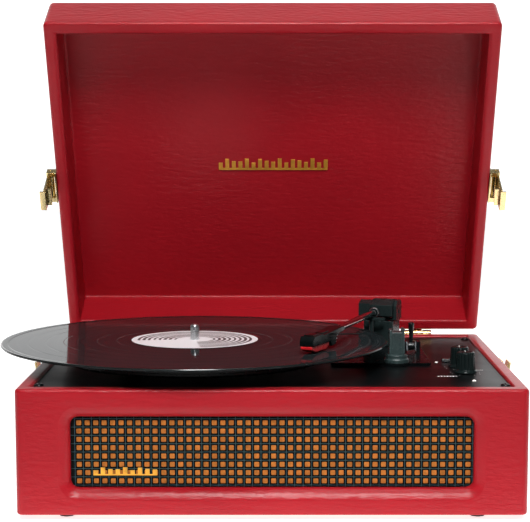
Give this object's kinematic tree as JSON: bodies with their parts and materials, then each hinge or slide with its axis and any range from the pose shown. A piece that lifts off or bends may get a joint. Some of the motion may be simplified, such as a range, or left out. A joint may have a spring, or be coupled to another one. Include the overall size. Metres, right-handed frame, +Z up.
{
  "type": "suitcase record player",
  "caption": "Portable suitcase record player: leatherette case, hinged lid, belt-driven platter with a record, tonearm with cue lever, front speaker grille.",
  "frame": {"origin": "centre of the underside of the case, in the plane that the feet are fixed to", "axes": "+X to the right seen from the front, +Y to the back, +Z up; the lid stands open"},
  "size_m": [0.4058, 0.3514, 0.3795],
  "materials": {
    "leatherette": "grained red leatherette",
    "board": "bare fibreboard",
    "black_metal": "satin black paint",
    "black_plastic": "moulded black plastic",
    "vinyl": "grooved black vinyl",
    "felt": "felt",
    "rubber": "matt rubber",
    "brass": "polished brass plate",
    "chrome": "polished",
    "steel": "plain",
    "red_plastic": "gloss red",
    "circuit": "green board",
    "grille_cloth": "woven brown squares on a dark ground",
    "light": "clear"
  },
  "bodies": {
    "case": {"base_shell": "leatherette", "bottom_panel": "board", "speaker_baffle": "board", "top_plate": "black_metal", "plate_screw_fl": "black_metal", "plate_screw_fr": "black_metal", "plate_screw_rl": "black_metal", "plate_screw_rr": "black_metal", "speaker_left": "black_metal", "speaker_right": "black_metal", "rating_plate": "black_plastic", "mechanism_deck": "black_plastic", "tonearm_base": "black_plastic", "arm_rest": "black_plastic", "jack_panel": "black_plastic", "dc_socket": "black_plastic", "foot_fl": "rubber", "foot_fr": "rubber", "foot_rl": "rubber", "foot_rr": "rubber", "belt": "rubber", "grille_badge": "brass", "handle_plate": "brass", "latch_catch_left": "brass", "latch_catch_right": "brass", "hinge_base_left": "brass", "hinge_base_right": "brass", "bearing": "steel", "motor": "steel", "rca_sockets": "steel", "circuit_board": "circuit", "control_board": "circuit", "speaker_grille": "grille_cloth", "power_light": "light"},
    "lid": {"lid_shell": "leatherette", "lid_badge": "brass", "hinge_lid_left": "brass", "hinge_lid_right": "brass", "latch_plate_left": "brass", "latch_plate_right": "brass"},
    "hasp_left": {"latch_hasp_left": "brass"},
    "hasp_right": {"latch_hasp_right": "brass"},
    "platter": {"platter": "black_metal", "slipmat": "felt", "spindle": "chrome", "record": "vinyl"},
    "pulley": {"pulley": "brass"},
    "tonearm_yoke": {"tonearm_yoke": "black_plastic"},
    "tonearm": {"arm_block": "black_plastic", "arm_tube": "chrome", "headshell": "black_plastic", "cartridge": "red_plastic", "stylus": "steel"},
    "cue_lever": {"cue_lever": "black_plastic"},
    "cue_platform": {"cue_platform": "black_plastic"},
    "volume_knob": {"volume_knob": "black_plastic"},
    "pitch_knob": {"pitch_knob": "black_plastic"},
    "speed_switch": {"speed_switch": "black_plastic"},
    "auto_stop_switch": {"auto_stop_switch": "black_plastic"},
    "handle": {"carry_handle": "leatherette"}
  },
  "joints": [
    {"name": "lid_hinge", "type": "hinge", "parent": "case", "child": "lid", "pos_m": [0, 0.1495, 0.091], "axis": [-1, 0, 0], "range_deg": [-44, 31.25]},
    {"name": "hasp_left_pivot", "type": "hinge", "parent": "lid", "child": "hasp_left", "pos_m": [-0.1875, 0.09009, 0.22505], "axis": [0, 0.4423, -0.8969], "range_deg": [0, 100]},
    {"name": "hasp_right_pivot", "type": "hinge", "parent": "lid", "child": "hasp_right", "pos_m": [0.1875, 0.09009, 0.22505], "axis": [0, -0.4423, 0.8969], "range_deg": [0, 100]},
    {"name": "platter_spin", "type": "hinge", "parent": "case", "child": "platter", "pos_m": [-0.0613, -0.013, 0.1], "axis": [0, 0, -1], "continuous": true},
    {"name": "pulley_spin", "type": "hinge", "parent": "case", "child": "pulley", "pos_m": [-0.00232, 0.0283, 0.094], "axis": [0, 0, -1], "continuous": true},
    {"name": "tonearm_swing", "type": "hinge", "parent": "case", "child": "tonearm_yoke", "pos_m": [0.0896, 0.078, 0.1202], "axis": [0, 0, 1], "range_deg": [-17.2, 22.9]},
    {"name": "tonearm_lift", "type": "hinge", "parent": "tonearm_yoke", "child": "tonearm", "pos_m": [0.0896, 0.078, 0.1202], "axis": [-0.9483, 0.3173, 0], "range_deg": [0, 2.6]},
    {"name": "cue_lever_turn", "type": "hinge", "parent": "case", "child": "cue_lever", "pos_m": [0.1133, 0.035, 0.096], "axis": [-1, 0, 0], "range_deg": [0, 55]},
    {"name": "cue_platform_rise", "type": "slide", "parent": "case", "child": "cue_platform", "axis": [0, 0, 1], "range_m": [0, 0.0014]},
    {"name": "volume_turn", "type": "hinge", "parent": "case", "child": "volume_knob", "pos_m": [0.1464, -0.0615, 0.095], "axis": [0, 0, 1], "range_deg": [-150, 150]},
    {"name": "pitch_turn", "type": "hinge", "parent": "case", "child": "pitch_knob", "pos_m": [0.145, -0.0345, 0.095], "axis": [0, 0, 1], "range_deg": [-150, 150]},
    {"name": "speed_slide", "type": "slide", "parent": "case", "child": "speed_switch", "axis": [0, 1, 0], "range_m": [-0.004, 0.004]},
    {"name": "auto_stop_slide", "type": "slide", "parent": "case", "child": "auto_stop_switch", "axis": [0, 1, 0], "range_m": [-0.003, 0.003]},
    {"name": "handle_pivot", "type": "hinge", "parent": "case", "child": "handle", "pos_m": [0, 0.153, 0.056], "axis": [1, 0, 0], "range_deg": [0, 150]}
  ],
  "couplings": [
    {"joint": "pulley_spin", "follows": "platter_spin", "ratio": 20.667},
    {"joint": "cue_lever_turn", "follows": "tonearm_lift", "ratio": 21.154},
    {"joint": "cue_platform_rise", "follows": "tonearm_lift", "m_per_rad": 0.03085}
  ]
}
